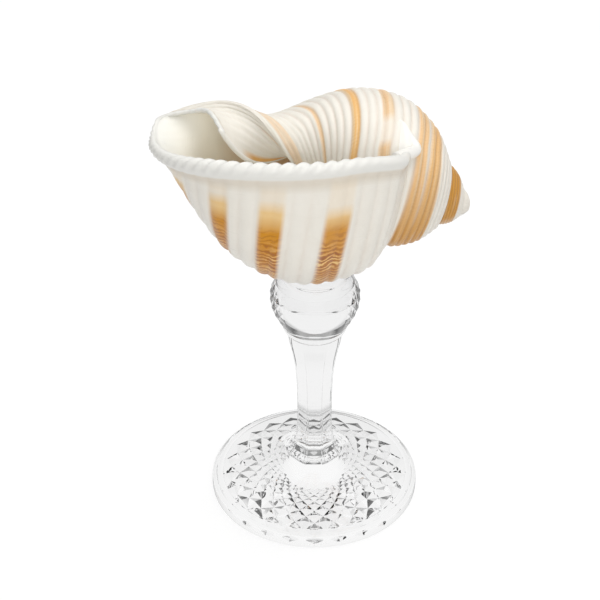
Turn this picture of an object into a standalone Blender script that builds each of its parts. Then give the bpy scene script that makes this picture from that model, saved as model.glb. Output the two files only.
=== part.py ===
"""A tun shell, lying mouth up as a cup, on a clear cut-glass stem.

Metres, +Z up.  The origin is the middle of the foot's underside; the shell's
tip points along +X and its outer lip faces -Y.
"""
import math

import bmesh
import bpy
import numpy as np
from mathutils import Vector

MM = 0.001

# --- the shell -------------------------------------------------------------
APEX = Vector((50.3, 2.0, 110.0)) * MM      # where all its whorls begin
AXIS_PITCH = math.radians(20.5)             # the tip points this far below level
WHORL_RATE = 2.2                            # growth in one whole turn
SWELL = 0.10                                # the last whorl but one is fuller
SWELL_AT = math.radians(-450)
SWELL_SPREAD = math.radians(100)
SWELL_TO = 0.72                             # share of the margin where it has died out
SUTURE_SHIFT = np.array((5.5, 0.3, 0.4)) * MM    # the last whorl joins farther from the tip:
SUTURE_SHARE = 0.10                         # this much of the margin by its suture moves,
SUTURE_TURNS = (90, 300)                    # wholly, and not at all, that many degrees back
# Wall at the mouth, by share of its edge; it shrinks with the whorls.
WALLS = [(0.0, 2.0), (0.7, 2.0), (0.80, 1.2), (1.0, 1.2)]

# The mouth's edge, from the suture round the outer lip, the siphon's end and
# the pillar: distance from the apex along the axis, forwards, upwards.
MARGIN = np.array([
    (25.5, 14.0, 16.6), (28.0, 17.5, 19.5), (37.0, 29.0, 22.5), (48.5, 37.5, 22.5),
    (57.0, 41.7, 20.5), (65.5, 43.2, 17.5), (74.0, 42.9, 14.0), (83.0, 40.3, 9.5),
    (91.0, 34.6, 4.0), (97.2, 27.0, -1.5), (101.2, 17.5, -6.5), (103.0, 8.0, -9.8),
    (103.3, 0.5, -10.8), (103.2, -5.2, -9.4), (102.2, -7.6, -7.2), (98.7, -7.3, -4.2),
    (94.5, -6.0, -1.0), (91.0, -3.0, 2.5), (88.5, 2.3, 4.2), (84.5, 8.0, 2.8)]) * MM

RIBS = 20                                   # round ribs that follow the whorls
RIB_FROM, RIB_TO = 0.030, 0.700             # their share of the margin
RIB_HEIGHT = 0.8 * MM
PILLAR_SHARES = [0.74, 0.78, 0.818, 0.855, 0.90, 0.95, 1]    # smooth columns past the ribs
LINING_SHARES = [0, 0.09, 0.18, 0.27, 0.36, 0.45, 0.54, 0.63, 0.69] + PILLAR_SHARES

# Growth angles of the rows, in degrees back from the lip.
ROWS = list(range(0, 360, 15)) + list(range(360, 720, 24)) + list(range(720, 901, 30))
BEAD_RADIUS = 3.0 * MM                      # the ball that closes the tip

# Thickened, rope-like edge of the mouth: share of the margin and radius.
LIP_RADII = [(0.0, 2.2), (0.1, 2.5), (0.5, 2.7), (0.72, 1.5), (0.80, 0.7), (1.0, 0.7)]
LIP_OUT = 0.3                               # it stands out from the wall's middle, in radii
LIP_TURNS = [125, 80, 30, -20, -70, -120]   # rows of points round the rope, in degrees
LIP_SLANT = -0.9                            # how far the rope's strands lean, in ribs
LIP_TOOTH = 0.13                            # depth of its teeth, in radii
# Where the lip's back corner runs out on the whorl behind it: place and radius.
CALLUS = [(36.0, 4.2, 22.6, 0.5), (33.8, 6.3, 22.3, 1.1), (31.4, 9.0, 21.3, 1.6),
          (29.2, 12.3, 20.2, 1.8), (30.6, 15.5, 20.0, 2.0), (35.0, 21.5, 21.8, 2.2)]

# --- the glass stem ----------------------------------------------------------
DIAMONDS = 24                               # cut diamonds in each ring of the foot
AROUND = 2 * DIAMONDS
FOOT_RADIUS = 35.0 * MM
FOOT_PROFILE = [(9.0, 14.2), (11.5, 12.4), (16.0, 10.0), (22.0, 7.9), (29.0, 6.2), (33.0, 5.2),
                (34.8, 4.1), (35.3, 2.4), (34.9, 0.8), (34.0, 0.0)]
DIAMOND_RINGS = [31.5, 28.2, 25.0, 21.9, 19.1, 16.6, 14.5, 12.8]
DIAMOND_DEPTH = 1.6 * MM
STEM_SIDES = 8
STEM_STATIONS = [(9.3, 11.0), (9.3, 15.2), (7.3, 17.2), (7.0, 19.5), (6.3, 30.0), (6.4, 40.0),
                 (7.1, 49.0), (8.2, 56.0), (10.0, 62.5), (10.6, 66.0)]
KNOP_BOTTOM = [(10.0, 62.5), (11.4, 66.5), (12.6, 70.0)]
KNOP_TOP = [(12.9, 84.3), (10.8, 86.8), (9.4, 87.4), (8.9, 89.0), (9.3, 90.4)]
KNOP_DIAMONDS = 14                          # round the knop
KNOP_BAND = [(12.6, 70.0), (14.2, 73.4), (15.1, 77.3), (14.5, 81.1), (12.9, 84.3)]
KNOP_CUT = 0.7 * MM

# --- the cement between them -------------------------------------------------
SEAT_RADIUS = 9.0 * MM
SEAT_BOTTOM = 90.7 * MM
SEAT_TOP = 94.5 * MM
SEAT_ROWS = range(75, 180, 15)              # the part of the shell that rests in it
SEAT_COLUMNS = slice(4, 26)
GAP = 0.3 * MM


# ---------------------------------------------------------------- helpers
def clear_scene():
    for old in list(bpy.data.objects):
        bpy.data.objects.remove(old, do_unlink=True)


def collection(name):
    made = bpy.data.collections.new(name)
    bpy.context.scene.collection.children.link(made)
    return made


def material(name, colour, roughness, transmission=0.0):
    made = bpy.data.materials.new(name)
    made.use_nodes = True
    shader = made.node_tree.nodes["Principled BSDF"]
    shader.inputs["Base Color"].default_value = (*colour, 1.0)
    shader.inputs["Roughness"].default_value = roughness
    shader.inputs["Metallic"].default_value = 0.0
    shader.inputs["Transmission Weight"].default_value = transmission
    shader.inputs["IOR"].default_value = 1.52
    return made


def object_from(name, bm, group, look=None):
    bmesh.ops.recalc_face_normals(bm, faces=bm.faces)
    mesh = bpy.data.meshes.new(name)
    bm.to_mesh(mesh)
    bm.free()
    made = bpy.data.objects.new(name, mesh)
    group.objects.link(made)
    if look:
        mesh.materials.append(look)
    return made


def join(target, tool, operation, self_overlap=False):
    step = target.modifiers.new(tool.name, "BOOLEAN")
    step.object = tool
    step.operation = operation
    step.solver = "EXACT"
    step.use_self = self_overlap


def hide(tool):
    tool.hide_render = True
    tool.display_type = "WIRE"


def smooth(made, angle=35):
    made.data.shade_smooth()
    made.data.set_sharp_from_angle(angle=math.radians(angle))


def grid_faces(bm, rows, closed=False, split=False):
    """Quads, or triangles, between rows of vertices that match one to one."""
    for low, high in zip(rows, rows[1:]):
        last = len(low) if closed else len(low) - 1
        for i in range(last):
            j = (i + 1) % len(low)
            if split:
                bm.faces.new((low[i], low[j], high[i]))
                bm.faces.new((low[j], high[j], high[i]))
            else:
                bm.faces.new((low[i], low[j], high[j], high[i]))


def zip_rows(bm, row, shares, other, other_shares):
    """Triangles between two rows with different numbers of vertices."""
    i = j = 0
    while i < len(row) - 1 or j < len(other) - 1:
        step_row = j == len(other) - 1 or (
            i < len(row) - 1 and shares[i + 1] <= other_shares[j + 1])
        if step_row:
            bm.faces.new((row[i], row[i + 1], other[j]))
            i += 1
        else:
            bm.faces.new((row[i], other[j + 1], other[j]))
            j += 1


# ---------------------------------------------------------------- the shell's growth
def smooth_curve(points, shares):
    """Points at the given shares of the length of a Catmull-Rom curve."""
    before = 2 * points[0] - points[1]
    after = 2 * points[-1] - points[-2]
    ends = np.vstack([2 * before - points[0], before, points, after, 2 * after - points[-1]])
    fine = []
    for a, b, c, d in zip(ends, ends[1:], ends[2:], ends[3:]):
        for t in np.arange(0.0, 1.0, 0.05):
            fine.append(0.5 * (2 * b + (c - a) * t + (2 * a - 5 * b + 4 * c - d) * t ** 2
                               + (3 * b - a - 3 * c + d) * t ** 3))
    fine = np.array(fine + [after])
    run = np.concatenate([[0.0], np.cumsum(np.linalg.norm(np.diff(fine, axis=0), axis=1))])
    first, last = run[20], run[-21]
    run = (run - first) / (last - first)
    return np.stack([np.interp(shares, run, fine[:, k]) for k in range(3)], axis=1)


def grown(points, angle, swell=0.0):
    """The margin's points as they lay at earlier growth angles (negative, radians)."""
    angle = np.broadcast_to(np.asarray(angle, dtype=float), (len(points),))
    size = WHORL_RATE ** (angle / (2 * math.pi))
    size = size * (1 + swell * np.exp(-((angle - SWELL_AT) / SWELL_SPREAD) ** 2))
    forward = points[:, 1] * np.cos(angle) - points[:, 2] * np.sin(angle)
    upward = points[:, 1] * np.sin(angle) + points[:, 2] * np.cos(angle)
    return np.stack([points[:, 0], forward, upward], axis=1) * size[:, None]


def to_world(points):
    along, forward, upward = points.T
    x = APEX.x - along * math.cos(AXIS_PITCH) + upward * math.sin(AXIS_PITCH)
    z = APEX.z + along * math.sin(AXIS_PITCH) + upward * math.cos(AXIS_PITCH)
    return np.stack([x, APEX.y - forward, z], axis=1)


def margin_frame(shares):
    """Place, direction out of the wall and direction out of the mouth, at the margin."""
    step = 0.002
    here = smooth_curve(MARGIN, shares)
    along = smooth_curve(MARGIN, shares + step) - smooth_curve(MARGIN, shares - step)
    out = np.cross(along, grown(here, -0.01) - here)
    out /= np.linalg.norm(out, axis=1)[:, None]
    front = np.cross(out, along)
    front /= np.linalg.norm(front, axis=1)[:, None]
    front *= np.sign(np.sum(front * (here - grown(here, -0.01)), axis=1))[:, None]
    return here, out, front


def lip_radius(shares):
    """Thick along the outer lip, thin past the siphon's end."""
    return np.interp(shares, *zip(*LIP_RADII)) * MM


def wall_at(shares):
    return np.interp(shares, *zip(*WALLS)) * MM


def lead(shares):
    """Angle behind the lip at which the plain wall begins."""
    here, out, front = margin_frame(shares)
    pace = np.abs(np.sum((here - grown(here, -0.01)) * front, axis=1)) / 0.01
    return 1.4 * lip_radius(shares) / np.maximum(pace, 3 * MM)


def rib_columns():
    """Shares of the margin and the height of the surface there: crest, groove, crest ..."""
    ribs = np.linspace(RIB_FROM, RIB_TO, 2 * RIBS + 1)
    lifts = [0.5 if k % 2 else -0.5 for k in range(len(ribs))]
    shares = np.concatenate([[0.0], ribs, PILLAR_SHARES])
    height = np.concatenate([[0.0], lifts, np.zeros(len(PILLAR_SHARES))])
    return shares, height


def settled(points, shares, degrees):
    """Points of the margin, with the last whorl's suture moved away from the tip."""
    near = np.clip(1 - shares / SUTURE_SHARE, 0, 1)
    late = np.interp(degrees, SUTURE_TURNS, (1, 0))
    return points + late * near[:, None] * SUTURE_SHIFT


def swept(edge, shares, degrees):
    """One row of the wall: the edge as it lay that many degrees ago."""
    edge = settled(edge, shares, degrees)
    start = lead(shares) * max(0.0, 1 - degrees / 90)
    swell = SWELL * np.clip((SWELL_TO - shares) / 0.15, 0, 1)
    return to_world(grown(edge, -math.radians(degrees) - start, swell))


def rope_row(shares, height, turn):
    """A row of points along the lip's rope, at an angle round it."""
    pitch = (RIB_TO - RIB_FROM) / RIBS
    ribbed = np.abs(height) > 0
    lean = shares + ribbed * pitch * LIP_SLANT * turn / 250
    here, out, front = margin_frame(lean)
    radius = lip_radius(lean) * (1 + 2 * LIP_TOOTH * height * (1 - fading(lean)))
    centre = settled(here, lean, 0) + out * (LIP_OUT * radius - wall_at(lean) / 2)[:, None]
    angle = math.radians(turn)
    return to_world(centre + (front * math.cos(angle) + out * math.sin(angle)) * radius[:, None])


def fading(shares):
    """0 where the rope has teeth, 1 where it is smooth: towards the back corner."""
    return np.clip((0.22 - shares) / 0.12, 0, 1)


def shell_wall(group, look):
    """The coiled wall: ribbed outside and smooth lining, swept back from the mouth."""
    shares, height = rib_columns()
    here, out, front = margin_frame(shares)
    edge = here + out * (height * RIB_HEIGHT)[:, None]
    inner = np.array(LINING_SHARES)
    here, out, front = margin_frame(inner)
    lining = here - out * wall_at(inner)[:, None]
    bm = bmesh.new()
    outside, inside = [], []
    for degrees in ROWS:
        outside.append([bm.verts.new(p) for p in swept(edge, shares, degrees)])
        inside.append([bm.verts.new(p) for p in swept(lining, inner, degrees)])
    rope = [[bm.verts.new(p) for p in rope_row(shares, height, turn)] for turn in LIP_TURNS]
    grid_faces(bm, rope[::-1] + outside, split=True)
    grid_faces(bm, inside, split=True)
    for side in (0, -1):
        grid_faces(bm, [[row[side] for row in outside], [row[side] for row in inside]])
        bm.faces.new([inside[0][side]] + [row[side] for row in rope[::-1]] + [outside[0][side]])
    zip_rows(bm, outside[-1], shares, inside[-1], inner)
    zip_rows(bm, rope[-1], shares, inside[0], inner)
    return object_from("tun_shell", bm, group, look)


def tip_bead(group):
    bm = bmesh.new()
    bmesh.ops.create_uvsphere(bm, u_segments=12, v_segments=8, radius=BEAD_RADIUS)
    bmesh.ops.translate(bm, verts=bm.verts, vec=APEX + Vector((-4.3, 0.0, 1.6)) * MM)
    return object_from("tip_bead", bm, group)


def callus(group):
    """The lip's back corner, drawn out over the older whorl as a round ridge."""
    path = np.array(CALLUS)[:, :3] * MM
    world = [Vector(p) for p in to_world(path)]
    bm = bmesh.new()
    rows = []
    for k, spot in enumerate(world):
        along = (world[min(k + 1, len(world) - 1)] - world[max(k - 1, 0)]).normalized()
        side = along.cross(Vector((0, 0, 1))).normalized()
        up = side.cross(along)
        turns = [2 * math.pi * j / 8 for j in range(8)]
        radius = CALLUS[k][3] * MM
        rows.append([bm.verts.new(spot + (side * math.cos(t) + up * math.sin(t)) * radius)
                     for t in turns])
    grid_faces(bm, rows, closed=True)
    bm.faces.new(rows[0])
    bm.faces.new(rows[-1])
    return object_from("callus", bm, group)


def make_shell(parts, cutters):
    look = material("shell", (0.86, 0.80, 0.70), 0.35)
    shell = shell_wall(parts, look)
    for tool in (tip_bead(cutters), callus(cutters)):
        hide(tool)
        join(shell, tool, "UNION", self_overlap=True)
    return shell


# ---------------------------------------------------------------- the glass
def ring(bm, radius, height, count, turn=0.0):
    spots = []
    for k in range(count):
        angle = 2 * math.pi * (k + turn) / count
        spots.append(bm.verts.new((radius * MM * math.sin(angle), -radius * MM * math.cos(angle),
                                   height * MM)))
    return spots


def lattice(bm, rings, corners_first):
    """Diamonds between rings of vertices: each odd vertex is a diamond's middle."""
    count = len(rings[0])
    for k in range(1, len(rings) - 1):
        for j in range(count):
            if (k + j + corners_first) % 2:
                around = (rings[k - 1][j], rings[k][(j + 1) % count], rings[k + 1][j],
                          rings[k][j - 1])
                for a, b in zip(around, around[1:] + around[:1]):
                    bm.faces.new((rings[k][j], a, b))
    for edge, near in ((rings[0], rings[1]), (rings[-1], rings[-2])):
        k = 0 if edge is rings[0] else len(rings) - 1
        for j in range(count):
            if (k + j + corners_first) % 2:
                bm.faces.new((near[j], edge[j], edge[j - 1]))
                bm.faces.new((near[j], edge[(j + 1) % count], edge[j]))


def make_foot(group):
    """The round foot, with rings of diamonds cut into its underside."""
    bm = bmesh.new()
    top = [ring(bm, r, z, AROUND) for r, z in FOOT_PROFILE]
    grid_faces(bm, top, closed=True)
    bm.faces.new(top[0])
    cuts = []
    for k, radius in enumerate(DIAMOND_RINGS):
        row = ring(bm, radius, 0.0, AROUND)
        if 0 < k < len(DIAMOND_RINGS) - 1:
            for j in range(AROUND):
                if (k + j) % 2:
                    row[j].co.z = DIAMOND_DEPTH * (0.45 + 0.55 * radius / DIAMOND_RINGS[0])
        cuts.append(row)
    grid_faces(bm, [top[-1], cuts[0]], closed=True)
    lattice(bm, cuts, 0)
    bm.faces.new(cuts[-1])
    return object_from("glass_stem", bm, group, None)


def make_stem(group):
    bm = bmesh.new()
    rows = [ring(bm, r, z, STEM_SIDES, 0.5) for r, z in STEM_STATIONS]
    grid_faces(bm, rows, closed=True)
    bm.faces.new(rows[0])
    bm.faces.new(rows[-1])
    return object_from("stem", bm, group)


def make_knop(group):
    """A squashed ball with a band of diamonds, and the short neck above it."""
    bm = bmesh.new()
    count = 2 * KNOP_DIAMONDS
    low = [ring(bm, r, z, count) for r, z in KNOP_BOTTOM[:-1]]
    band = []
    for k, (r, z) in enumerate(KNOP_BAND):
        row = ring(bm, r, z, count)
        if 0 < k < len(KNOP_BAND) - 1:
            for j in range(count):
                if not (k + j) % 2:
                    flat = Vector((row[j].co.x, row[j].co.y, 0)).normalized()
                    row[j].co -= flat * KNOP_CUT
        band.append(row)
    high = [ring(bm, r, z, count) for r, z in KNOP_TOP[1:]]
    grid_faces(bm, low + [band[0]], closed=True)
    lattice(bm, band, 0)
    grid_faces(bm, [band[-1]] + high, closed=True)
    bm.faces.new(low[0])
    bm.faces.new(high[-1])
    return object_from("knop", bm, group)


def make_glass(parts, cutters):
    look = material("glass", (1.0, 1.0, 1.0), 0.02, transmission=1.0)
    foot = make_foot(parts)
    foot.data.materials.append(look)
    for tool in (make_stem(cutters), make_knop(cutters)):
        hide(tool)
        join(foot, tool, "UNION")
    return foot


# ---------------------------------------------------------------- the cement seat
def shell_room(group):
    """A block that fills the space of the shell's underside, with the gap added."""
    shares, height = rib_columns()
    here, out, front = margin_frame(shares)
    edge = here + out * (height * RIB_HEIGHT + GAP)[:, None]
    bm = bmesh.new()
    low, high = [], []
    for degrees in SEAT_ROWS:
        row = swept(edge, shares, degrees)[SEAT_COLUMNS]
        low.append([bm.verts.new(p) for p in row])
        high.append([bm.verts.new((x, y, 2 * SEAT_TOP)) for x, y, z in row])
    grid_faces(bm, low)
    grid_faces(bm, high)
    for side in (0, -1):
        grid_faces(bm, [[row[side] for row in low], [row[side] for row in high]])
    for end in (0, -1):
        grid_faces(bm, [low[end], high[end]])
    return object_from("shell_room", bm, group)


def make_seat(parts, cutters):
    """Clear cement that fills the space between the neck and the round shell."""
    look = material("cement", (0.95, 0.97, 0.97), 0.08, transmission=0.9)
    bm = bmesh.new()
    depth = SEAT_TOP - SEAT_BOTTOM
    bmesh.ops.create_cone(bm, cap_ends=True, segments=32, radius1=SEAT_RADIUS,
                          radius2=SEAT_RADIUS - 0.8 * MM, depth=depth)
    bmesh.ops.translate(bm, verts=bm.verts, vec=(0, 0, SEAT_BOTTOM + depth / 2))
    seat = object_from("cement_seat", bm, parts, look)
    room = shell_room(cutters)
    hide(room)
    join(seat, room, "DIFFERENCE")
    return seat


clear_scene()
cup = collection("tun_shell_cup")
tools = collection("cutters")
for piece in (make_shell(cup, tools), make_glass(cup, tools), make_seat(cup, tools)):
    smooth(piece)
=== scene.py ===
"""Looks of a tun shell that lies mouth up as a cup on a clear cut-glass stem.

Metres, +Z up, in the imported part's frame: the origin is under the middle of
the foot, the shell's tip points along +X and its outer lip faces -Y.
"""
import math

import bmesh
import bpy
import numpy as np
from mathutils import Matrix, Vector


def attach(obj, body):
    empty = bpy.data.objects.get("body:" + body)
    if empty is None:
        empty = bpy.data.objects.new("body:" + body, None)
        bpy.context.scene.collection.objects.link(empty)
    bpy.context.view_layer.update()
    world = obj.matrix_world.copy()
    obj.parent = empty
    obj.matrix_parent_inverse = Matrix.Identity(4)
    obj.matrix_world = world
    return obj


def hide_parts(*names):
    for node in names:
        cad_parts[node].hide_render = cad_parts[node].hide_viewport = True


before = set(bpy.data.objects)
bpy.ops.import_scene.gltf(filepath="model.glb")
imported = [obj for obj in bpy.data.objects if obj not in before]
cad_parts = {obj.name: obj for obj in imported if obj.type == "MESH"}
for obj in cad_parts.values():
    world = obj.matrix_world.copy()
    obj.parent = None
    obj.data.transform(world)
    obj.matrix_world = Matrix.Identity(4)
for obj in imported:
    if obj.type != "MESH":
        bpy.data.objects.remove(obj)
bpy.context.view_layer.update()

MM = 0.001

# --- camera ----------------------------------------------------------------------------
AIM = Vector((-4.91, 0.0, 76.38)) * MM
CAMERA_DISTANCE = 600 * MM
CAMERA_RISE = math.radians(34.63)
LENS, SENSOR = 110.5, 36.0                  # mm

# --- the shell's growth, as in the part's source ---------------------------------------
# A share is a place along the margin, 0 at the suture by the older whorl and 1 at the
# pillar's edge. Degrees are counted back from the lip round the shell's axis.
APEX = Vector((50.3, 2.0, 110.0)) * MM
AXIS_PITCH = math.radians(20.5)
WHORL_RATE = 2.2                            # a whorl is this many times the one before it
SWELL = 0.10                                # an older whorl is fuller by this much
SWELL_AT, SWELL_SPREAD = math.radians(-450), math.radians(100)
SWELL_TO, SWELL_FADE = 0.72, 0.15           # the share where that ends, and its fading
WALLS = [(0.0, 2.0), (0.7, 2.0), (0.80, 1.2), (1.0, 1.2)]    # share, mm
# The margin: mm from the tip along the axis, forward and up.
MARGIN = np.array([
    (25.5, 14.0, 16.6), (28.0, 17.5, 19.5), (37.0, 29.0, 22.5), (48.5, 37.5, 22.5),
    (57.0, 41.7, 20.5), (65.5, 43.2, 17.5), (74.0, 42.9, 14.0), (83.0, 40.3, 9.5),
    (91.0, 34.6, 4.0), (97.2, 27.0, -1.5), (101.2, 17.5, -6.5), (103.0, 8.0, -9.8),
    (103.3, 0.5, -10.8), (103.2, -5.2, -9.4), (102.2, -7.6, -7.2), (98.7, -7.3, -4.2),
    (94.5, -6.0, -1.0), (91.0, -3.0, 2.5), (88.5, 2.3, 4.2), (84.5, 8.0, 2.8)]) * MM
SUTURE_SHIFT = np.array((5.5, 0.3, 0.4)) * MM    # the last whorl's suture leaves the tip
SUTURE_SHARE = 0.10                         # over this share of the margin
SUTURE_TURNS = (90, 300)                    # and less and less between these degrees

# --- ribs ------------------------------------------------------------------------------
RIBS = 20                                   # broad ones, between these shares
RIB_FROM, RIB_TO = 0.030, 0.700
RIB_BREADTH = 0.8                           # smaller makes the crests broader
RIB_DEPTHS = [(0, 0.3), (15, 0.45), (45, 0.65), (75, 0.85), (110, 0.95), (900, 0.95)]    # mm
RIB_SHARES = [(0, 0.0), (0.02, 1.0), (0.66, 1.0), (0.74, 0.7), (0.92, 0.6), (0.985, 0.0)]
# Ribs and bands drift across the margin as the shell grows: degrees back, ribs.
DRIFT = [(0, 0.0), (60, -0.65), (150, -0.8), (236, -0.4), (324, 1.3), (370, 1.2), (900, 1.2)]
PILLAR_PACE = 1.5                           # past RIB_TO the ribs are this much closer
PILLAR_RIBS = (0.72, 0.80)                  # past these shares they run right to the lip,
PILLAR_DEGREES = 90                         # as deep there as they are this far back
INNER_DEPTH, INNER_RIBS_END = 0.25, 60      # ribs of the lining: share of depth, degrees
INNER_DEPTH_AT = 75                         # the outside's depth that it is a share of

# --- the lip ---------------------------------------------------------------------------
LIP_RADII = [(0.0, 1.0), (0.05, 1.7), (0.12, 2.0), (0.3, 2.3), (0.5, 2.5), (0.72, 1.5),
             (0.80, 0.7), (1.0, 0.7)]       # share, mm
LIP_OUT = 0.3                               # its middle stands out by this share of them
LIP_LENGTH = 1.4                            # radii behind the lip where the wall begins
LIP_TEETH = 1.3                             # teeth for each rib
LIP_TOOTH, TOOTH_BASE = 0.34, 0.7           # their height and their foot, as shares
LIP_SLANT, SLANT_FROM, SLANT_OVER = -0.9, 20, 120     # teeth leant over, degrees round it
TOOTH_TURNS = (-110, -60, 60, 120)          # they begin, are full, begin to end and end
LIP_SMOOTH, LIP_SMOOTHING = 0.30, 0.16      # they die out to the corner from this share
WALL_SETTLES = 90                           # degrees over which the wall forgets the lip

# --- small forms of the shell ----------------------------------------------------------
PILLAR_EDGE = 0.8 * MM                      # radius of the pillar's rounded edge
EDGE_LEAD = 2.4                             # it starts ahead of the wall by these steps
SUTURE_EDGE, SUTURE_LEAD = 0.9 * MM, 0.2    # the same for the edge along the suture
EDGE_STEP, EDGE_STARTS = 6.0, (0.7, 0.85)   # degrees; thinner at first
TIP_RADIUS = 3.9 * MM
TIP_PLACE = Vector((-5.7, 0.0, 1.8)) * MM   # from the apex
END_SHARES = (0.8, 0.45, 0.05)              # rows that close the oldest whorl's end
# The corner's ridge: mm from the tip along the axis, forward and up, and its radius.
CALLUS = [(35.8, 4.4, 22.5, 0.8), (33.8, 6.3, 22.3, 1.3), (31.4, 9.0, 21.3, 1.6),
          (29.2, 12.3, 20.2, 1.8), (30.6, 15.5, 20.0, 1.9), (36.0, 22.0, 20.3, 1.6)]
# White enamel over the older whorl, inside the lip's corner: shares of its right
# side at even steps down, the share of its left side and its span in degrees.
ENAMEL_RIGHT = [0.350, 0.324, 0.305, 0.298, 0.292, 0.290, 0.310]
ENAMEL_LEFT = 0.356
ENAMEL_SPAN = (299, 338)
ENAMEL_LIFT, ENAMEL_SUNK = 0.9, 0.45        # mm out of the wall and, at its sides, into it
ENAMEL_SLOPES = (2, 8, 5)                   # of its left side, right side and upper end

# --- the glass: radius and height of its profiles, in mm -------------------------------
DIAMONDS = 24                               # cut diamonds in each ring of the foot
AROUND = 14 * DIAMONDS                      # vertices round the smooth glass
FOOT_PROFILE = [(9.0, 14.2), (11.5, 12.4), (16.0, 10.0), (22.0, 7.9), (29.0, 6.0), (31.3, 5.4),
                (31.7, 5.15), (32.1, 5.2), (33.3, 4.9), (33.6, 4.6), (33.9, 4.8), (34.6, 4.6),
                (35.05, 4.25), (35.25, 3.6), (35.3, 2.2), (35.25, 0.9), (35.0, 0.25), (34.4, 0.0)]
DIAMOND_RINGS = [31.0, 28.2, 25.0, 21.9, 19.1, 16.6, 14.5, 12.8, 11.3, 10.0, 8.8, 7.8]
DIAMOND_DEPTH = 1.7 * MM
DIAMOND_SHARES = (0.35, 0.90, 0.75)         # of it at the middle, the rim and at the most
STEM_SIDES = 8
STEM_PROFILE = [(9.3, 11.0), (9.3, 14.6), (8.9, 15.6), (7.6, 16.6), (7.5, 17.6), (7.1, 18.6),
                (6.9, 20.5), (6.3, 30.0), (6.35, 40.0), (6.9, 49.0), (7.9, 56.0), (9.4, 62.5),
                (9.9, 67.0)]
STEM_ROUND = 90                             # larger is sharper: how crisp its corners are
STEM_LINE = (0.22, 2.3)                     # a fine line cut along each: mm deep, degrees wide
KNOP_BOTTOM = [(9.2, 64.6), (9.9, 65.3), (10.5, 66.3), (10.5, 67.1), (10.9, 68.0), (11.9, 69.8)]
KNOP_BAND = [(11.9, 69.8), (13.4, 72.4), (14.4, 75.2), (14.8, 78.0), (14.5, 81.0), (12.9, 84.3)]
KNOP_TOP = [(12.9, 84.3), (11.2, 86.4), (9.8, 87.2), (9.1, 88.2), (9.0, 89.4), (9.3, 90.4)]
KNOP_DIAMONDS, KNOP_ROWS = 24, 8            # round the knop and up it
KNOP_CUT = 0.22 * MM
KNOP_PANEL = (35, 50)                       # degrees from the front and back where its cuts begin
GLASS_SHARP = 12                            # degrees: flatter edges are smooth

# --- colours ---------------------------------------------------------------------------
CREAM = (0.86, 0.83, 0.76, 1)
CREAM_DULL = (0.79, 0.75, 0.67, 1)
GROOVE = (0.66, 0.53, 0.43, 1)
# painted shade: the colour of the shadow under the lip's rope
UNDER_LIP_SHADE = (0.62, 0.54, 0.43, 1)
TAN = (0.80, 0.55, 0.25, 1)
AMBER = (0.60, 0.25, 0.005, 1)
OLD_TAN = (0.79, 0.42, 0.10, 1)
PALE_TAN = (0.80, 0.57, 0.32, 1)
SPIRE_TAN = (0.58, 0.29, 0.06, 1)
SPIRE_DARK = (0.38, 0.15, 0.02, 1)
RUST = (0.50, 0.18, 0.0, 1)
PALE_LINE = (0.82, 0.54, 0.20, 1)
BROWN = (0.31, 0.08, 0.0, 1)
ENAMEL_WHITE = (0.90, 0.89, 0.86, 1)
# painted shade: the enamel's white dimmed for the lip, whose top faces the overhead lamp
LIP_SHADED_WHITE = (0.78, 0.77, 0.73, 1)
LINING = (0.86, 0.85, 0.79, 1)
# the lining's beige, made lighter as painted light for the light that shines through the thin wall
BEIGE_PLUS_PAINTED_LIGHT = (0.96, 0.91, 0.78, 1)
ORANGE = (0.80, 0.46, 0.16, 1)
GLASS_TINT = (0.89, 0.89, 0.89, 1)

# --- bands: first rib, last rib and strength of each -----------------------------------
RIB_SPAN = 36.0                             # ribs that the ramps of bands cover
BAND_SIDE = 0.14                            # softness of a band's sides, in ribs
FRONT_BANDS = [(5.5, 7.0, 0.95), (9.4, 10.8, 1.0), (12.7, 14.0, 1.0), (16.3, 17.6, 1.0)]
OLDER_BANDS = [(1.9, 3.9, 0.9), (4.4, 5.9, 0.8), (9.1, 10.4, 0.75), (12.9, 13.9, 1.0),
               (17.9, 18.35, 0.8), (23.1, 24.9, 0.5), (28.5, 29.3, 0.5)]
SPIRE_BANDS = [(1.6, 6.3, 1.0), (9.1, 10.4, 0.7), (12.9, 13.9, 1.0)]

# --- where the colours change: degrees from and to, or ribs ----------------------------
# painted shade under the lip, over these degrees back from it
LIP_SHADE_ENDS = (1.5, 5.0)
FAINT_FROM, FULL_FROM = (3, 7), (9, 16)     # the front bands
LATE_START, LATE_RIBS = 4.0, (7, 9)         # the one by the suture starts later
AMBER_FROM, RUST_FROM, LINES_FROM = (18, 27), (30, 45), (22, 38)
LINES_END = (110, 160)
OLDER_FROM = (100, 160)
SPIRE_FROM, SPIRE_TAN_FROM, SPIRE_END = (330, 400), (330, 420), (760, 860)
BAND_GAP, GAP_RIBS = (294, 303, 317, 324), (8.6, 8.9, 10.6, 10.9)    # a pale break in one band
STAIN, STAIN_RIBS = (45, 75), (32.9, 33.5)  # orange on the pillar's inner side
# the lining's beige, lightened as painted light, and then its orange
BEIGE_PLUS_LIGHT_FROM, ORANGE_FROM = (6, 70), (90, 200)     # the lining

# --- noise over ribs and degrees: its scales, detail and roughness ---------------------
MOTTLE = (0.6, 0.08)
BAND_ENDS = (0.25, 0.05, 2.0)
STREAKS = (2.2, 0.012, 4.0)
LINE_BENDS = (0.9, 0.12, 4.0)
LINE_GAPS = (0.8, 0.14, 3.0)
PALE_GAPS = (0.5, 0.10, 3.0)
GROWTH_LINES = (0.35, 1.4, 4.0, 0.65)
LINES_PER_DEGREE = 0.30
LINE_WAVE, LINE_STRAY = 0.16, 3.2           # how far a line bends at each rib and strays

# --- clear pieces: index of refraction, and the scale and strength of their waviness ---
GLASS = (1.5, 70.0, 0.25)
CEMENT = (1.46, 300.0, 0.5)

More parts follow.
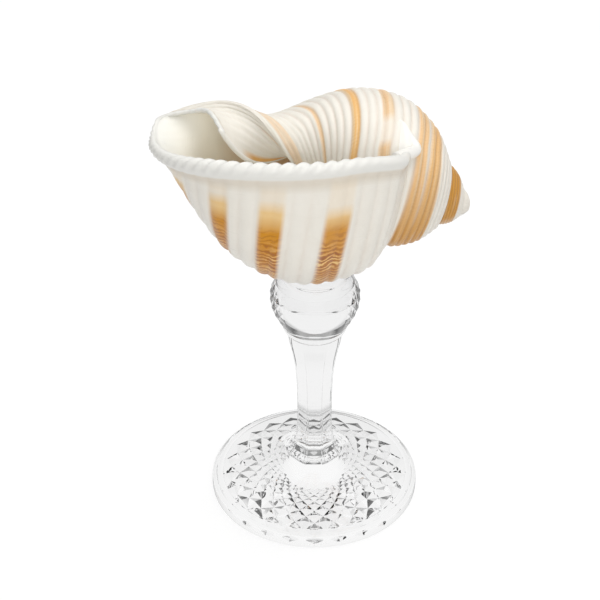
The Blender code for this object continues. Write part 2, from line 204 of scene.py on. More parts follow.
# --- the studio ------------------------------------------------------------------------
AMBIENT = 0.55                              # light from all round
LAMP_AIM = (0, 0, 0.1)
LAMPS = {"overhead": ((0.1, 0.1, 0.8), 0.6, 3.0),    # place, width and power
         "front": ((0.08, -0.75, 0.45), 0.5, 2.2)}
# Glass also sees dark flags on both sides of the part and a dimmer room in front of
# it: places along X and towards -Y where they begin and are full, as parts of a
# direction in the world and in metres on the floor.
FLAG_GREY, ROOM_GREY, HORIZON_GREY = 0.10, 0.50, 0.40
FLAGS_IN_WORLD, ROOM_IN_WORLD = (0.12, 0.40), (0.20, 0.70)
FLAGS_ON_FLOOR, ROOM_ON_FLOOR = (0.16, 0.40), (0.15, 0.35)
FLAG_TOPS, HORIZON_TOPS = (0.35, 0.80), (0.27, 0.36)    # where they end in height
FLOOR_HALF = 3.0                            # half the floor's width
FLOOR_GREY = 0.60
FLOOR_SEEN, FLOOR_SHADED = 0.86, (0.18, 0.18, 0.18, 1)  # glow that is seen, and what shadows
FLOOR_COLOUR = (0.8, 0.8, 0.8, 1)           # for the light that it sends back
SHADE, SHADE_GREY = (0.036, 0.045), 0.30    # the shade on the floor round the foot, from
SHADE_UNDER = (0.0345, 0.0355)              # just beyond its rim

# --- how finely it is drawn ------------------------------------------------------------
RIB_STEPS = 8                               # columns in one rib
SIDE_SHARES = (0.98, 0.985)                 # the last plain column, and the pillar's edge
OUTER_ROWS = np.concatenate([np.arange(0, 360, 2.0), np.arange(360, 720, 3.6),
                             np.arange(720, 1131, 10)])
INNER_ROWS = np.concatenate([np.arange(0, 360, 6.0), np.arange(360, 721, 15)])
LIP_TURNS = np.linspace(140, -140, 22)
CURVE_STEPS = 20                            # steps between two points of a curve
BACK = 0.01                                 # radians: a small step back in growth
TUBE_SIDES, CALLUS_SIDES, CALLUS_STEPS = 24, 32, 60
ENAMEL_STEPS = (40, 24)                     # down and across
FOOT_STEPS, STEM_STEPS, KNOP_STEPS = 8, 6, 8     # rows between two points of a profile
WHITE = (1, 1, 1, 1)


def smooth_curve(points, shares):
    """Points at the given shares of the length of a Catmull-Rom curve."""
    before = 2 * points[0] - points[1]
    after = 2 * points[-1] - points[-2]
    ends = np.vstack([2 * before - points[0], before, points, after, 2 * after - points[-1]])
    fine = []
    for a, b, c, d in zip(ends, ends[1:], ends[2:], ends[3:]):
        for t in np.arange(CURVE_STEPS) / CURVE_STEPS:
            fine.append(0.5 * (2 * b + (c - a) * t + (2 * a - 5 * b + 4 * c - d) * t ** 2
                               + (3 * b - a - 3 * c + d) * t ** 3))
    fine = np.array(fine + [after])
    run = np.concatenate([[0.0], np.cumsum(np.linalg.norm(np.diff(fine, axis=0), axis=1))])
    first, last = run[CURVE_STEPS], run[-CURVE_STEPS - 1]
    run = (run - first) / (last - first)
    return np.stack([np.interp(shares, run, fine[:, k]) for k in range(3)], axis=1)


def grown(points, angle, swell=0.0):
    """The margin's points as they lay at earlier growth angles (negative, radians)."""
    angle = np.broadcast_to(np.asarray(angle, dtype=float), (len(points),))
    size = WHORL_RATE ** (angle / (2 * math.pi))
    size = size * (1 + swell * np.exp(-((angle - SWELL_AT) / SWELL_SPREAD) ** 2))
    forward = points[:, 1] * np.cos(angle) - points[:, 2] * np.sin(angle)
    upward = points[:, 1] * np.sin(angle) + points[:, 2] * np.cos(angle)
    return np.stack([points[:, 0], forward, upward], axis=1) * size[:, None]


def to_world(points):
    """From (along the axis, forward, up) to the part's frame."""
    along, forward, upward = points.T
    x = APEX.x - along * math.cos(AXIS_PITCH) + upward * math.sin(AXIS_PITCH)
    z = APEX.z + along * math.sin(AXIS_PITCH) + upward * math.cos(AXIS_PITCH)
    return np.stack([x, APEX.y - forward, z], axis=1)


def margin_frame(shares):
    """Place, direction out of the wall and direction out of the mouth, at the margin."""
    step = 0.002
    here = smooth_curve(MARGIN, shares)
    along = smooth_curve(MARGIN, shares + step) - smooth_curve(MARGIN, shares - step)
    out = np.cross(along, grown(here, -BACK) - here)
    out /= np.linalg.norm(out, axis=1)[:, None]
    front = np.cross(out, along)
    front /= np.linalg.norm(front, axis=1)[:, None]
    front *= np.sign(np.sum(front * (here - grown(here, -BACK)), axis=1))[:, None]
    return here, out, front


def lip_radius(shares):
    """Radius of the lip's rope along the margin."""
    return np.interp(shares, *zip(*LIP_RADII)) * MM


def wall_at(shares):
    """Thickness of the wall along the margin."""
    return np.interp(shares, *zip(*WALLS)) * MM


def lead(shares):
    """Angle behind the lip at which the plain wall begins."""
    here, _, front = margin_frame(shares)
    pace = np.abs(np.sum((here - grown(here, -BACK)) * front, axis=1)) / BACK
    return LIP_LENGTH * lip_radius(shares) / np.maximum(pace, 3 * MM)


def settled(points, shares, degrees):
    """Points of the margin, with the last whorl's suture moved away from the tip."""
    near = np.clip(1 - shares / SUTURE_SHARE, 0, 1)
    late = np.interp(degrees, SUTURE_TURNS, (1, 0))
    return points + late * near[:, None] * SUTURE_SHIFT


def swept(edge, shares, leads, degrees):
    """One row of the wall: the edge as it lay that many degrees ago."""
    edge = settled(edge, shares, degrees)
    start = leads * max(0.0, 1 - degrees / WALL_SETTLES)
    swell = SWELL * np.clip((SWELL_TO - shares) / SWELL_FADE, 0, 1)
    return to_world(grown(edge, -math.radians(degrees) - start, swell))


def rib_count(shares, degrees):
    """Counts ribs from the suture; whole numbers are grooves."""
    even = (shares - RIB_FROM) / (RIB_TO - RIB_FROM) * RIBS
    closer = np.maximum(even - RIBS, 0) * (PILLAR_PACE - 1)
    return even + closer - np.interp(degrees, *zip(*DRIFT))


def rib_shape(count):
    """-0.5 in a groove and 0.5 on a crest; the crests are broad and the grooves narrow."""
    return np.abs(np.sin(math.pi * count)) ** RIB_BREADTH - 0.5


def rib_depth(shares, degrees):
    """Height of the ribs in mm; they die out at the suture and on the pillar's edge."""
    behind = np.interp(shares, PILLAR_RIBS, (degrees, max(degrees, PILLAR_DEGREES)))
    return np.interp(behind, *zip(*RIB_DEPTHS)) * np.interp(shares, *zip(*RIB_SHARES))


def columns():
    """Shares of the wall's columns, a whole number of them to a rib."""
    pitch = (RIB_TO - RIB_FROM) / RIBS / RIB_STEPS
    return np.concatenate([np.linspace(0, RIB_FROM, 4)[:-1],
                           np.arange(RIB_FROM, SIDE_SHARES[0], pitch),
                           np.linspace(SIDE_SHARES[1], 1, 3)])


def fading(shares):
    """0 where the lip has teeth, 1 where it is smooth: towards the back corner."""
    return np.clip((LIP_SMOOTH - shares) / LIP_SMOOTHING, 0, 1)


def rope_row(margin, shares, turn):
    """A row of points along the lip's rope, at an angle round it."""
    here, out, front = margin
    count = LIP_TEETH * rib_count(shares, 0) + LIP_SLANT * (turn - SLANT_FROM) / SLANT_OVER
    toothed = (1 - fading(shares)) * np.interp(turn, TOOTH_TURNS, (0, 1, 1, 0))
    strand = 0.5 - np.cos(2 * math.pi * count) / 2
    radius = lip_radius(shares) * (1 + LIP_TOOTH * (strand - TOOTH_BASE) * toothed)
    centre = settled(here, shares, 0) + out * (LIP_OUT * lip_radius(shares)
                                               - wall_at(shares) / 2)[:, None]
    angle = math.radians(turn)
    return to_world(centre + (front * math.cos(angle) + out * math.sin(angle)) * radius[:, None])


def numbers(mesh, name, values):
    """A value at each vertex that the material reads by its name."""
    made = mesh.attributes.new(name, "FLOAT", "POINT")
    made.data.foreach_set("value", np.asarray(values, dtype=np.float32).ravel())


def sheet(name, rows, values):
    """A smooth mesh from rows of points, with a value for each point."""
    count, width = rows.shape[:2]
    index = np.arange(count * width).reshape(count, width)
    faces = np.stack([index[:-1, :-1], index[:-1, 1:], index[1:, 1:], index[1:, :-1]], axis=-1)
    mesh = bpy.data.meshes.new(name)
    mesh.from_pydata(rows.reshape(-1, 3), [], faces.reshape(-1, 4).tolist())
    for key, value in values.items():
        numbers(mesh, key, value)
    mesh.shade_smooth()
    made = bpy.data.objects.new(name, mesh)
    bpy.context.scene.collection.objects.link(made)
    return made


def make_shell():
    """Lining, lip and outside as one sheet, from deep inside round the lip to the tip."""
    shares = columns()
    margin = here, out, _ = margin_frame(shares)
    leads = lead(shares)
    lining = here - out * wall_at(shares)[:, None]
    rows, along, inside, counts, grooves = [], [], [], [], []

    def keep(row, degrees, side, depth):
        count = rib_count(shares, degrees)
        rows.append(row)
        along.append(np.full(len(shares), float(degrees)))
        inside.append(np.full(len(shares), side))
        counts.append(count)
        grooves.append((0.5 - rib_shape(count)) * depth)

    for degrees in INNER_ROWS[::-1]:
        depth = (INNER_DEPTH * rib_depth(shares, INNER_DEPTH_AT)
                 * max(0, 1 - degrees / INNER_RIBS_END))
        ribs = out * (rib_shape(rib_count(shares, degrees)) * depth * MM)[:, None]
        keep(swept(lining + ribs, shares, leads, degrees), degrees, 1.0, 0 * depth)
    for turn in LIP_TURNS[::-1]:
        keep(rope_row(margin, shares, turn), 0, 0.5 if turn > -60 else 0.8, 0 * shares)
    for degrees in OUTER_ROWS:
        depth = rib_depth(shares, degrees)
        ribs = out * (rib_shape(rib_count(shares, degrees)) * depth * MM)[:, None]
        keep(swept(here + ribs, shares, leads, degrees), degrees, 0.0, depth)
    last = rows[-1]
    middle = last.mean(axis=0)
    for share in END_SHARES:
        keep(middle + (last - middle) * share, OUTER_ROWS[-1], 0.0, 0 * shares)
    return sheet("shell_wall", np.array(rows), {
        "along": along, "inside": inside, "rib": counts, "groove": grooves})


def make_edge(name, share, radius, lead_steps):
    """A rounded edge along one side of the wall, from the lip back into the shell."""
    shares = np.array([share])
    here, out, _ = margin_frame(shares)
    middle = here - out * wall_at(shares)[:, None] / 2
    degrees = np.arange(0, 361, EDGE_STEP)
    leads = lead(shares)
    path = [swept(middle, shares, leads, d)[0] for d in degrees]
    ahead = [path[0] + (path[0] - path[1]) * k for k in (lead_steps, lead_steps / 2)]
    path = np.array(ahead + path)
    radii = radius * np.concatenate([EDGE_STARTS, WHORL_RATE ** (-degrees / 360)])
    bm = bmesh.new()
    tube(bm, path, radii)
    return object_from(name, bm)


def tube(bm, path, radii, around=TUBE_SIDES):
    """A closed round tube along a path."""
    rows = []
    last = len(path) - 1
    for k, spot in enumerate(path):
        along = Vector(path[min(k + 1, last)] - path[max(k - 1, 0)]).normalized()
        side = along.cross(Vector((0, 0, 1))).normalized()
        up = side.cross(along)
        rows.append([
            bm.verts.new(Vector(spot) + (side * math.cos(t) + up * math.sin(t)) * radii[k])
            for t in np.linspace(0, 2 * math.pi, around + 1)[:-1]])
    ring_faces(bm, rows)
    bm.faces.new(rows[0])
    bm.faces.new(rows[-1])


# ---------------------------------------------------------------- the tip and the lip's corner
def make_tip():
    """The small round nucleus at the shell's tip."""
    bm = bmesh.new()
    bmesh.ops.create_uvsphere(bm, u_segments=48, v_segments=32, radius=TIP_RADIUS)
    bmesh.ops.translate(bm, verts=bm.verts, vec=APEX + TIP_PLACE)
    return object_from("shell_tip", bm)


def make_callus():
    """The lip's back corner, drawn out over the older whorl as a smooth ridge."""
    shares = np.linspace(0, 1, CALLUS_STEPS)
    points = np.array(CALLUS) * MM
    path = to_world(smooth_curve(points[:, :3], shares))
    radii = np.interp(shares, np.linspace(0, 1, len(CALLUS)), points[:, 3])
    bm = bmesh.new()
    tube(bm, path, radii, CALLUS_SIDES)
    return object_from("shell_callus", bm)


def make_enamel():
    """Thick white enamel on the older whorl between the callus and the mouth."""
    across = np.linspace(0, 1, ENAMEL_STEPS[1])
    left_slope, right_slope, end_slope = ENAMEL_SLOPES
    rows = []
    for t in np.linspace(0, 1, ENAMEL_STEPS[0]):
        right = np.interp(t, np.linspace(0, 1, len(ENAMEL_RIGHT)), ENAMEL_RIGHT)
        shares = ENAMEL_LEFT + (right - ENAMEL_LEFT) * across
        degrees = np.interp(t, (0, 1), ENAMEL_SPAN)
        here, out, _ = margin_frame(shares)
        sides = np.minimum(across * left_slope, (1 - across) * right_slope)
        rise = np.clip(sides, 0, 1) * min(1, end_slope * t + 0.1)
        lift = np.interp(rise, (0, 1), (-ENAMEL_SUNK, ENAMEL_LIFT))
        lift *= MM * WHORL_RATE ** (degrees / 360)
        rows.append(swept(here + out * lift[:, None], shares, lead(shares), degrees))
    return sheet("shell_enamel", np.array(rows), {})


# ---------------------------------------------------------------- meshes in general
def object_from(name, bm):
    """A smooth object in the scene, from a bmesh that this uses up."""
    bmesh.ops.recalc_face_normals(bm, faces=bm.faces)
    mesh = bpy.data.meshes.new(name)
    bm.to_mesh(mesh)
    bm.free()
    mesh.shade_smooth()
    made = bpy.data.objects.new(name, mesh)
    bpy.context.scene.collection.objects.link(made)
    return made


def ring_faces(bm, rows):
    """Faces between each closed row of vertices and the next."""
    for low, high in zip(rows, rows[1:]):
        for i in range(len(low)):
            j = (i + 1) % len(low)
            bm.faces.new((low[i], low[j], high[j], high[i]))


def ring(bm, radius, height, count):
    """A circle of vertices round the glass's axis, the first one to the front; in mm."""
    spots = []
    for angle in np.arange(count) * 2 * math.pi / count:
        spots.append(bm.verts.new((radius * MM * math.sin(angle), -radius * MM * math.cos(angle),
                                   height * MM)))
    return spots


def fan_ring(bm, coarse, fine):
    """Faces between a ring of few vertices and one with a whole multiple of them."""
    times = len(fine) // len(coarse)
    for k, spot in enumerate(coarse):
        first = k * times - times // 2
        for j in range(times):
            bm.faces.new((spot, fine[(first + j) % len(fine)],
                          fine[(first + j + 1) % len(fine)]))
        after = coarse[(k + 1) % len(coarse)]
        bm.faces.new((spot, fine[(first + times) % len(fine)], after))


def lattice(bm, rings):
    """Diamonds between rings of vertices: each odd vertex is a diamond's middle."""
    count = len(rings[0])
    for k in range(1, len(rings) - 1):
        for j in range(count):
            if (k + j) % 2:
                around = (rings[k - 1][j], rings[k][(j + 1) % count], rings[k + 1][j],
                          rings[k][j - 1])
                for a, b in zip(around, around[1:] + around[:1]):
                    bm.faces.new((rings[k][j], a, b))
    for edge, near in ((rings[0], rings[1]), (rings[-1], rings[-2])):
        k = 0 if edge is rings[0] else len(rings) - 1
        for j in range(count):
            if (k + j) % 2:
                bm.faces.new((near[j], edge[j], edge[j - 1]))
                bm.faces.new((near[j], edge[(j + 1) % count], edge[j]))


def smooth_profile(points, steps):
    """Finer radius and height pairs along a profile."""
    points = np.array([(r, 0.0, z) for r, z in points], dtype=float)
    fine = smooth_curve(points, np.linspace(0, 1, steps * (len(points) - 1) + 1))
    return [(p[0], p[2]) for p in fine]


# ---------------------------------------------------------------- the glass
def make_foot():
    """The round foot, with rings of diamonds cut into its underside."""
    bm = bmesh.new()
    top = [ring(bm, r, z, AROUND) for r, z in smooth_profile(FOOT_PROFILE, FOOT_STEPS)]
    ring_faces(bm, top)
    bm.faces.new(top[0])
    middle_share, rim_share, most = DIAMOND_SHARES
    cuts = []
    for k, radius in enumerate(DIAMOND_RINGS):
        row = ring(bm, radius, 0.0, 2 * DIAMONDS)
        share = middle_share + (rim_share - middle_share) * radius / DIAMOND_RINGS[0]
        if 0 < k < len(DIAMOND_RINGS) - 1:
            for j in range(2 * DIAMONDS):
                if (k + j) % 2:
                    row[j].co.z = DIAMOND_DEPTH * min(most, share)
        cuts.append(row)
    fan_ring(bm, cuts[0], top[-1])
    lattice(bm, cuts)
    bm.faces.new(cuts[-1])
    return object_from("glass_stem_clear", bm)


def faceted_ring(bm, radius, height):
    """A ring with flat sides, one of them to the front, and a line cut along each corner."""
    depth, width = STEM_LINE
    spots = []
    for angle in np.arange(AROUND) * 2 * math.pi / AROUND:
        sums = sum(max(0.0, math.cos(angle - 2 * math.pi * j / STEM_SIDES)) ** STEM_ROUND
                   for j in range(STEM_SIDES))
        corner = math.degrees(angle) % (360 / STEM_SIDES) - 180 / STEM_SIDES
        line = depth * math.exp(-(corner / width) ** 2)
        reach = radius * math.cos(math.pi / STEM_SIDES) * sums ** (-1 / STEM_ROUND) - line
        spots.append(bm.verts.new((reach * MM * math.sin(angle), -reach * MM * math.cos(angle),
                                   height * MM)))
    return spots


def make_stem():
    """The eight-sided baluster stem."""
    bm = bmesh.new()
    rows = [faceted_ring(bm, r, z) for r, z in smooth_profile(STEM_PROFILE, STEM_STEPS)]
    ring_faces(bm, rows)
    bm.faces.new(rows[0])
    bm.faces.new(rows[-1])
    return object_from("stem", bm)


def cut_side(angle):
    """0 on the knop's plain front and back, 1 on its cut sides."""
    away = math.degrees(math.asin(abs(math.sin(angle))))
    return min(1.0, max(0.0, (away - KNOP_PANEL[0]) / (KNOP_PANEL[1] - KNOP_PANEL[0])))


def make_knop():
    """The knop, with a lattice of shallow cuts on its two sides."""
    bm = bmesh.new()
    count = 2 * KNOP_DIAMONDS
    low = [ring(bm, r, z, AROUND) for r, z in smooth_profile(KNOP_BOTTOM, KNOP_STEPS)]
    band = []
    profile = smooth_profile(KNOP_BAND, KNOP_ROWS - 1)[::len(KNOP_BAND) - 1]
    for k, (r, z) in enumerate(profile):
        row = ring(bm, r, z, count)
        if 0 < k < len(profile) - 1:
            for j in range(count):
                if not (k + j) % 2:
                    flat = Vector((row[j].co.x, row[j].co.y, 0)).normalized()
                    row[j].co -= flat * KNOP_CUT * cut_side(2 * math.pi * j / count)
        band.append(row)
    high = [ring(bm, r, z, AROUND) for r, z in smooth_profile(KNOP_TOP, KNOP_STEPS)]
    ring_faces(bm, low)
    fan_ring(bm, band[0], low[-1])
    lattice(bm, band)
    fan_ring(bm, band[-1], high[0])
    ring_faces(bm, high)
    bm.faces.new(low[0])
    bm.faces.new(high[-1])
    return object_from("knop", bm)


def make_glass():
    """Foot, stem and knop joined into one clear piece."""
    foot = make_foot()
    for tool in (make_stem(), make_knop()):
        step = foot.modifiers.new(tool.name, "BOOLEAN")
        step.object = tool
        step.operation = "UNION"
        step.solver = "EXACT"
        bpy.context.view_layer.update()
        made = bpy.data.meshes.new_from_object(foot.evaluated_get(
            bpy.context.evaluated_depsgraph_get()))
        foot.modifiers.clear()
        foot.data = made
        bpy.data.objects.remove(tool)
    foot.data.shade_smooth()
    foot.data.set_sharp_from_angle(angle=math.radians(GLASS_SHARP))
    return foot


# ---------------------------------------------------------------- materials
def add(tree, kind, values=(), out=0, **settings):
    """A node's output; each input is a number, a colour or another node's output."""
    node = tree.nodes.new(kind)
    for key, value in settings.items():
        setattr(node, key, value)
    for key, value in dict(values).items():
        if isinstance(value, bpy.types.NodeSocket):
            tree.links.new(value, node.inputs[key])
        else:
            node.inputs[key].default_value = value
    return node.outputs[out]


def principled(name, **values):
    """A new material with its node tree and shader, whose sockets have these values."""
    made = bpy.data.materials.new(name)
    made.use_nodes = True
    shader = made.node_tree.nodes["Principled BSDF"]
    for key, value in values.items():
        shader.inputs[key.replace("_", " ")].default_value = value
    return made, made.node_tree, shader


def calc(tree, operation, *values):
    """A sum or another operation on numbers."""
    return add(tree, "ShaderNodeMath", dict(enumerate(values)), operation=operation)


def span(tree, value, low, high, to_low=0.0, to_high=1.0):
    """A value brought from one range to another, and held at its ends."""
    return add(tree, "ShaderNodeMapRange", {0: value, 1: low, 2: high, 3: to_low, 4: to_high})


def window(tree, value, start, full, still, end):
    """1 between two places of a value, falling to 0 beyond them."""
    return calc(tree, "MINIMUM", span(tree, value, start, full),
                span(tree, value, still, end, 1.0, 0.0))


def mix(tree, share, a, b):
    """Colour a, or b where the share is 1."""
    return add(tree, "ShaderNodeMix", {0: share, 6: a, 7: b}, out=2, data_type="RGBA")


def grain(tree, rib, along, rib_scale, along_scale, detail=3.0, roughness=0.55):
    """Noise over the ribs and degrees of the shell's surface."""
    place = add(tree, "ShaderNodeCombineXYZ", {0: calc(tree, "MULTIPLY", rib, rib_scale),
                                               1: calc(tree, "MULTIPLY", along, along_scale)})
    return add(tree, "ShaderNodeTexNoise", {"Vector": place, "Scale": 1.0, "Detail": detail,
                                            "Roughness": roughness})


def bands(tree, rib, wanted):
    """Strength across the ribs of bands given as (first rib, last rib, strength)."""
    stops = [(0.0, 0.0)]
    for first, last, strength in wanted:
        stops += [(first - BAND_SIDE, 0.0), (first + BAND_SIDE, strength),
                  (last - BAND_SIDE, strength), (last + BAND_SIDE, 0.0)]
    node = tree.nodes.new("ShaderNodeValToRGB")
    spots = node.color_ramp.elements
    while len(spots) < len(stops):
        spots.new(0.5)
    for spot, (place, grey) in zip(spots, stops):
        spot.position = place / RIB_SPAN
        spot.color = (grey, grey, grey, 1)
    tree.links.new(calc(tree, "DIVIDE", rib, RIB_SPAN), node.inputs["Fac"])
    return node.outputs["Color"]


def band_strength(tree, rib, along, starts, streaks):
    """How much of the bands shows: one set on the last whorl, others on the older ones."""
    begun = calc(tree, "SUBTRACT", starts, span(tree, rib, *LATE_RIBS, LATE_START, 0.0))
    full = calc(tree, "MAXIMUM", span(tree, begun, *FULL_FROM),
                span(tree, starts, *FAINT_FROM, 0.0, 0.2))
    late = calc(tree, "MULTIPLY", bands(tree, rib, FRONT_BANDS), full)
    spire = calc(tree, "MULTIPLY", bands(tree, rib, SPIRE_BANDS),
                 span(tree, along, *SPIRE_END, 1.0, 0.0))
    early = add(tree, "ShaderNodeMix", {0: span(tree, along, *SPIRE_FROM),
                                        2: bands(tree, rib, OLDER_BANDS), 3: spire})
    early = calc(tree, "MULTIPLY", early, span(tree, streaks, 0.3, 0.5, 0.75, 1.0))
    gap = calc(tree, "MULTIPLY", window(tree, along, *BAND_GAP), window(tree, rib, *GAP_RIBS))
    early = calc(tree, "MULTIPLY", early, span(tree, gap, 0, 1, 1.0, 0.2))
    return add(tree, "ShaderNodeMix", {0: span(tree, along, *OLDER_FROM), 2: late, 3: early})


def band_colour(tree, rib, along, groove, starts, streaks):
    """Tan and amber, crossed by dark wavy lines where the shell paused in its growth."""
    bend = calc(tree, "MULTIPLY", calc(tree, "SINE", calc(tree, "MULTIPLY", rib, 2 * math.pi)),
                LINE_WAVE)
    stray = calc(tree, "MULTIPLY", grain(tree, rib, along, *LINE_BENDS), LINE_STRAY)
    count = calc(tree, "ADD", calc(tree, "MULTIPLY", along, LINES_PER_DEGREE),
                 calc(tree, "ADD", bend, stray))
    wave = calc(tree, "SINE", calc(tree, "MULTIPLY", count, 2 * math.pi))
    pale = calc(tree, "MULTIPLY", span(tree, wave, -0.1, -0.9),
                span(tree, grain(tree, rib, along, *PALE_GAPS), 0.4, 0.6, 0.2, 1.0))
    uneven = span(tree, grain(tree, rib, along, *LINE_GAPS), 0.36, 0.60, 0.35, 1.0)
    dark = calc(tree, "MULTIPLY", calc(tree, "MULTIPLY", span(tree, wave, 0.0, 1.0), uneven),
                span(tree, starts, *LINES_FROM))
    dark = calc(tree, "MULTIPLY", dark, span(tree, along, *LINES_END, 1.0, 0.10))
    young = mix(tree, span(tree, starts, *AMBER_FROM), TAN, AMBER)
    young = mix(tree, span(tree, starts, *RUST_FROM), young, mix(tree, pale, RUST, PALE_LINE))
    spire = span(tree, along, *SPIRE_TAN_FROM)
    aged = mix(tree, span(tree, streaks, 0.42, 0.58), OLD_TAN, PALE_TAN)
    aged = mix(tree, spire, aged, SPIRE_TAN)
    furrow = mix(tree, spire, SPIRE_TAN, SPIRE_DARK)
    aged = mix(tree, span(tree, groove, 0.2, 0.8, 0.0, 0.6), aged, furrow)
    tan = mix(tree, span(tree, along, *OLDER_FROM), young, aged)
    return mix(tree, dark, tan, BROWN)


def shell_look():
    """Banded outside, white at the lip, dimmed there as painted shade, and beige, lightened as
    painted light, and then orange deep inside.
    """
    made, tree, shader = principled("shell_banded", Roughness=0.35, Specular_IOR_Level=0.25)
    rib, along, groove, inside = [add(tree, "ShaderNodeAttribute", attribute_name=name, out=2)
                                  for name in ("rib", "along", "groove", "inside")]
    # cream crests and pinkish grooves, with faint mottling and painted shade under the lip
    cream = mix(tree, grain(tree, rib, along, *MOTTLE), CREAM_DULL, CREAM)
    # a darker, pinkish colour in the grooves, more in the deeper ones
    groove_tone = calc(tree, "MULTIPLY", calc(tree, "POWER", groove, 1.6), 0.55)
    base = mix(tree, groove_tone, cream, GROOVE)
    base = mix(tree, span(tree, along, *LIP_SHADE_ENDS, 0.5, 0.0), base, UNDER_LIP_SHADE)
    # the bands, with uneven ends and streaks, and the stain on the pillar
    ends = grain(tree, rib, along, *BAND_ENDS)
    starts = calc(tree, "ADD", along, calc(tree, "MULTIPLY", ends, 6.0))
    streaks = grain(tree, rib, along, *STREAKS)
    outer = mix(tree, band_strength(tree, rib, along, starts, streaks), base,
                band_colour(tree, rib, along, groove, starts, streaks))
    stain = calc(tree, "MULTIPLY", span(tree, along, *STAIN), span(tree, rib, *STAIN_RIBS))
    outer = mix(tree, stain, outer, ORANGE)
    # the lining: its beige is the shell's own colour, lightened as painted light that stands in
    # for light shining through the thin wall
    deep = mix(tree, span(tree, along, *BEIGE_PLUS_LIGHT_FROM), LINING, BEIGE_PLUS_PAINTED_LIGHT)
    deep = mix(tree, span(tree, along, *ORANGE_FROM), deep, ORANGE)
    # the lip in its dimmed white, painted shade against the light on its top
    colour = mix(tree, span(tree, inside, 0.1, 0.4), outer, LIP_SHADED_WHITE)
    colour = mix(tree, span(tree, inside, 0.8, 1.0), colour, deep)
    tree.links.new(colour, shader.inputs["Base Color"])
    # fine growth lines
    lines = grain(tree, rib, along, *GROWTH_LINES)
    bump = add(tree, "ShaderNodeBump", {"Strength": 0.35, "Distance": 0.0004, "Height": lines})
    tree.links.new(bump, shader.inputs["Normal"])
    tree.links.new(span(tree, lines, 0.3, 0.7, 0.25, 0.42), shader.inputs["Roughness"])
    return made


def enamel_look():
    """Glossy white, a little cloudy and uneven."""
    made, tree, shader = principled("shell_enamel", Roughness=0.3)
    place = add(tree, "ShaderNodeTexCoord", out=3)
    cloud = add(tree, "ShaderNodeTexNoise", {"Vector": place, "Scale": 120.0, "Detail": 3.0})
    tree.links.new(mix(tree, cloud, ENAMEL_WHITE, CREAM), shader.inputs["Base Color"])
    bump = add(tree, "ShaderNodeBump", {"Strength": 0.2, "Distance": 0.0005, "Height": cloud})
    tree.links.new(bump, shader.inputs["Normal"])
    return made


def clear_look(name, ior, scale, waviness):
    """Clear glass or cement, its surface a little wavy."""
    made, tree, shader = principled(name, Roughness=0.0, IOR=ior, Base_Color=GLASS_TINT,
                                    Transmission_Weight=1.0)
    place = add(tree, "ShaderNodeTexCoord", out=3)
    waves = add(tree, "ShaderNodeTexNoise", {"Vector": place, "Scale": scale, "Detail": 2.0})
    bump = add(tree, "ShaderNodeBump", {"Strength": waviness, "Distance": 0.0004, "Height": waves})
    tree.links.new(bump, shader.inputs["Normal"])
    tree.links.new(span(tree, waves, 0.4, 0.7, 0.0, 0.02), shader.inputs["Roughness"])
    return made


# ---------------------------------------------------------------- floor, light and camera
def flags(tree, place, grey, sides, front):
    """What glass sees at a place or in a direction: white behind the part, flags beside it."""
    split = tree.nodes.new("ShaderNodeSeparateXYZ")
    tree.links.new(place, split.inputs[0])
    beside = span(tree, calc(tree, "ABSOLUTE", split.outputs["X"]), *sides, 1.0, grey)
    ahead = span(tree, calc(tree, "MULTIPLY", split.outputs["Y"], -1.0), *front, 1.0, ROOM_GREY)
    return calc(tree, "MINIMUM", beside, ahead), split.outputs["Z"]


def ray_kinds(tree):
    """Whether the ray comes straight from the camera, and whether off or through glass."""
    path = tree.nodes.new("ShaderNodeLightPath")
    bounced = calc(tree, "MAXIMUM", path.outputs["Is Glossy Ray"],
                   path.outputs["Is Transmission Ray"])
    return path.outputs["Is Camera Ray"], bounced


def make_floor():
    """A pale floor that the camera sees as white, with the part's shadow."""
    bm = bmesh.new()
    bmesh.ops.create_grid(bm, x_segments=2, y_segments=2, size=FLOOR_HALF)
    floor = object_from("floor", bm)
    look = bpy.data.materials.new("floor_white")
    look.use_nodes = True
    tree = look.node_tree
    tree.nodes.clear()
    camera, bounced = ray_kinds(tree)
    place = add(tree, "ShaderNodeNewGeometry")
    around, _ = flags(tree, place, FLOOR_GREY, FLAGS_ON_FLOOR, ROOM_ON_FLOOR)
    off = add(tree, "ShaderNodeVectorMath", {0: place}, out=1, operation="LENGTH")
    shade = calc(tree, "MAXIMUM", span(tree, off, *SHADE, SHADE_GREY, 1.0),
                 span(tree, off, *SHADE_UNDER, 1.0, 0.0))
    seen_in_glass = calc(tree, "MINIMUM", around, shade)
    strength = add(tree, "ShaderNodeMix", {0: bounced, 2: FLOOR_SEEN, 3: seen_in_glass})
    lit = add(tree, "ShaderNodeEmission", {"Color": WHITE, "Strength": strength})
    shaded = add(tree, "ShaderNodeBsdfDiffuse", {"Color": FLOOR_SHADED})
    direct = add(tree, "ShaderNodeAddShader", {0: lit, 1: shaded})
    white = add(tree, "ShaderNodeMixShader", {0: bounced, 1: direct, 2: lit})
    plain = add(tree, "ShaderNodeBsdfDiffuse", {"Color": FLOOR_COLOUR})
    seen = calc(tree, "MAXIMUM", camera, bounced)
    mixed = add(tree, "ShaderNodeMixShader", {0: seen, 1: plain, 2: white})
    out = tree.nodes.new("ShaderNodeOutputMaterial")
    tree.links.new(mixed, out.inputs["Surface"])
    floor.data.materials.append(look)


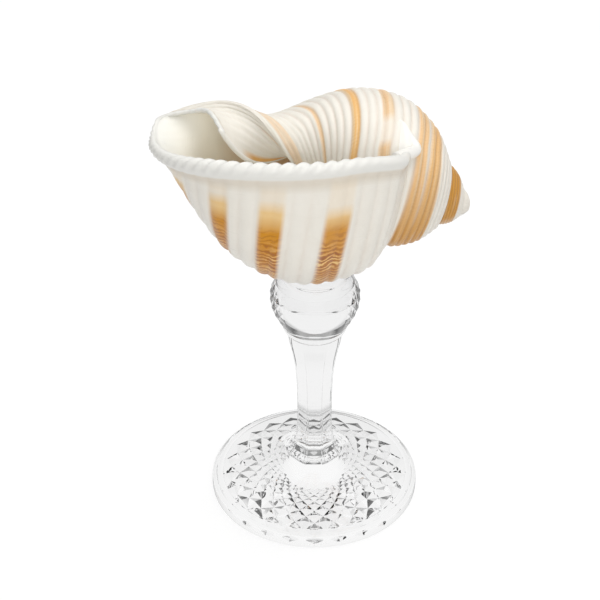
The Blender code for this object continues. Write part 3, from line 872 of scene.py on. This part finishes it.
def make_world():
    """White where it is seen; glass and gloss see the flags too."""
    world = bpy.data.worlds.new("studio")
    world.use_nodes = True
    tree = world.node_tree
    tree.nodes.clear()
    camera, bounced = ray_kinds(tree)
    direction = add(tree, "ShaderNodeTexCoord", out=0)
    around, height = flags(tree, direction, FLAG_GREY, FLAGS_IN_WORLD, ROOM_IN_WORLD)
    around = calc(tree, "MAXIMUM", around, span(tree, height, *FLAG_TOPS))
    seen_in_glass = calc(tree, "MINIMUM", around,
                         span(tree, height, *HORIZON_TOPS, HORIZON_GREY, 1.0))
    strength = add(tree, "ShaderNodeMix", {0: bounced, 2: AMBIENT, 3: seen_in_glass})
    strength = add(tree, "ShaderNodeMix", {0: camera, 2: strength, 3: 1.0})
    light = add(tree, "ShaderNodeBackground", {"Color": WHITE, "Strength": strength})
    out = tree.nodes.new("ShaderNodeOutputWorld")
    tree.links.new(light, out.inputs["Surface"])
    bpy.context.scene.world = world


def area_light(name, place, size, power):
    """A round lamp over the part that gloss and glass don't show."""
    data = bpy.data.lights.new(name, "AREA")
    data.shape = "DISK"
    data.size = size
    data.energy = power
    lamp = bpy.data.objects.new(name, data)
    lamp.location = place
    lamp.rotation_euler = (Vector(LAMP_AIM) - Vector(place)).to_track_quat("-Z", "Y").to_euler()
    lamp.visible_glossy = lamp.visible_transmission = False
    bpy.context.scene.collection.objects.link(lamp)


def make_camera():
    """A camera above the front that looks at the part's middle."""
    data = bpy.data.cameras.new("camera")
    data.lens = LENS
    data.sensor_width = SENSOR
    data.clip_start = 0.01
    camera = bpy.data.objects.new("camera", data)
    back = Vector((0, -math.cos(CAMERA_RISE), math.sin(CAMERA_RISE)))
    camera.location = AIM + CAMERA_DISTANCE * back
    camera.rotation_euler = (AIM - camera.location).to_track_quat("-Z", "Y").to_euler()
    bpy.context.scene.collection.objects.link(camera)
    bpy.context.scene.camera = camera


banded, enamel = shell_look(), enamel_look()
for piece, look in (
        (make_shell(), banded), (make_tip(), enamel),
        (make_edge("shell_pillar_edge", 1.0, PILLAR_EDGE, EDGE_LEAD), enamel),
        (make_edge("shell_suture_edge", 0.0, SUTURE_EDGE, SUTURE_LEAD), enamel),
        (make_callus(), enamel), (make_enamel(), enamel)):
    piece.data.materials.append(look)
    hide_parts("tun_shell")
    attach(piece, "root")
glass = make_glass()
glass.data.materials.clear()
glass.data.materials.append(clear_look("glass_clear", *GLASS))
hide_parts("glass_stem")
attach(glass, "root")
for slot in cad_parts["cement_seat"].material_slots:
    slot.material = clear_look("cement_clear", *CEMENT)
make_floor()
make_world()
for name, (place, size, power) in LAMPS.items():
    area_light(name, place, size, power)
make_camera()
bpy.context.scene.view_settings.view_transform = "Standard"
